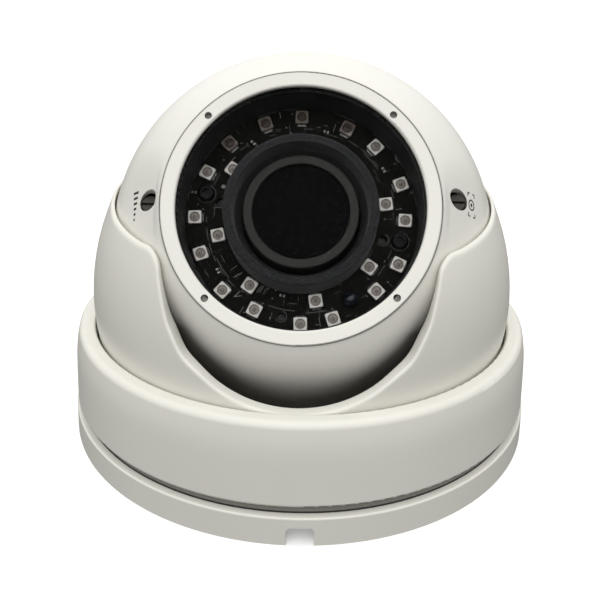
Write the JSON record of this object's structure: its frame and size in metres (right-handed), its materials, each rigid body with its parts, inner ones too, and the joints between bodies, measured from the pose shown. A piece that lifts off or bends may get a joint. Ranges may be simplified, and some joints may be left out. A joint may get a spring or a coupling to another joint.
{
  "type": "dome cctv camera",
  "caption": "Turret dome camera: eyeball with lens window and infrared emitter ring, tilting in a U-fronted cradle that pans in a round base.",
  "frame": {"origin": "centre of the mounting face of the base", "axes": "+Z away from the mounting surface, -Y the side the lens looks towards at rest, +X to the viewer's right when facing the lens"},
  "size_m": [0.1228, 0.1228, 0.0938],
  "materials": {
    "paint_base": "satin off-white powder coat",
    "paint_cradle": "satin off-white powder coat",
    "paint_eyeball": "satin off-white powder coat",
    "paint_bezel": "satin off-white powder coat",
    "rubber_seal": "matt black rubber",
    "screw_steel": "plated steel",
    "screw_black": "blackened steel",
    "spindle_metal": "turned metal",
    "nylon": "natural nylon",
    "print_black": "pad print",
    "window_glass": "clear flat glass",
    "board_black": "black solder mask",
    "board_green": "green solder mask",
    "led_body": "white moulded package",
    "led_dome": "clear resin",
    "sensor_dome": "dark tinted resin",
    "moulding_black": "black moulding",
    "foam_black": "black closed-cell foam",
    "lens_black": "matt black barrel",
    "lens_glass": "coated glass",
    "filter_glass": "filter glass",
    "motor_case": "black moulding",
    "sensor_chip": "sensor under cover glass",
    "component_black": "moulded component",
    "connector_white": "white connector",
    "lead_red": "insulated lead"
  },
  "bodies": {
    "base": {"mounting_base": "paint_base", "base_gasket": "rubber_seal", "trim_ring": "paint_base", "trim_ring_screws": "screw_steel", "pan_glide_lower": "nylon", "pan_glide_upper": "nylon"},
    "cradle": {"cradle": "paint_cradle", "tilt_screws": "screw_steel"},
    "eyeball": {"front_shell": "paint_eyeball", "rear_housing": "paint_eyeball", "bezel_ring": "paint_bezel", "shell_seal": "rubber_seal", "glass_gasket": "rubber_seal", "cable_grommet": "rubber_seal", "shell_screws": "screw_steel", "chassis_screws": "screw_steel", "board_screws": "screw_steel", "tilt_wave_washers": "screw_steel", "led_board_screws": "screw_black", "standoffs": "spindle_metal", "tilt_friction_washers": "nylon", "printed_symbols": "print_black", "front_glass": "window_glass", "led_board": "board_black", "led_packages": "led_body", "led_lenses": "led_dome", "light_sensor": "sensor_dome", "led_carrier": "moulding_black", "chassis_plate": "moulding_black", "lens_holder": "moulding_black", "light_baffle": "foam_black", "lens_barrel": "lens_black", "lens_front_element": "lens_glass", "ir_cut_motor": "motor_case", "sensor_board": "board_green", "power_board": "board_green", "image_sensor": "sensor_chip", "board_components": "component_black", "board_connectors": "connector_white", "led_leads": "lead_red"},
    "zoom_adjuster": {"zoom_spindle": "spindle_metal"},
    "zoom_cell": {"zoom_group": "moulding_black", "zoom_group_lens": "lens_glass"},
    "focus_adjuster": {"focus_spindle": "spindle_metal"},
    "focus_cell": {"focus_group": "moulding_black", "focus_group_lens": "lens_glass"},
    "filter_slider": {"ir_shuttle": "moulding_black", "ir_filters": "filter_glass"}
  },
  "joints": [
    {"name": "pan", "type": "hinge", "parent": "base", "child": "cradle", "pos_m": [0, 0, 0.02], "axis": [0, 0, 1], "range_deg": [-172, 172]},
    {"name": "tilt", "type": "hinge", "parent": "cradle", "child": "eyeball", "pos_m": [0, 0, 0.0454], "axis": [-1, 0, 0], "range_deg": [-15, 56.8]},
    {"name": "zoom_turn", "type": "hinge", "parent": "eyeball", "child": "zoom_adjuster", "pos_m": [-0.03385, -0.01586, 0.05769], "axis": [0, -0.8368, 0.5476], "range_deg": [-150, 150]},
    {"name": "zoom_slide", "type": "slide", "parent": "eyeball", "child": "zoom_cell", "axis": [0, -0.8368, 0.5476], "range_m": [-0.00249, 0.00249]},
    {"name": "focus_turn", "type": "hinge", "parent": "eyeball", "child": "focus_adjuster", "pos_m": [0.0346, -0.01476, 0.05936], "axis": [0, -0.8368, 0.5476], "range_deg": [-150, 150]},
    {"name": "focus_slide", "type": "slide", "parent": "eyeball", "child": "focus_cell", "axis": [0, -0.8368, 0.5476], "range_m": [-0.00145, 0.00145]},
    {"name": "filter_slide", "type": "slide", "parent": "eyeball", "child": "filter_slider", "axis": [-1, 0, 0], "range_m": [0, 0.0095]}
  ],
  "couplings": [
    {"joint": "zoom_turn", "follows": "zoom_slide", "rad_per_m": 1047.2},
    {"joint": "focus_turn", "follows": "focus_slide", "rad_per_m": 1795.2}
  ]
}
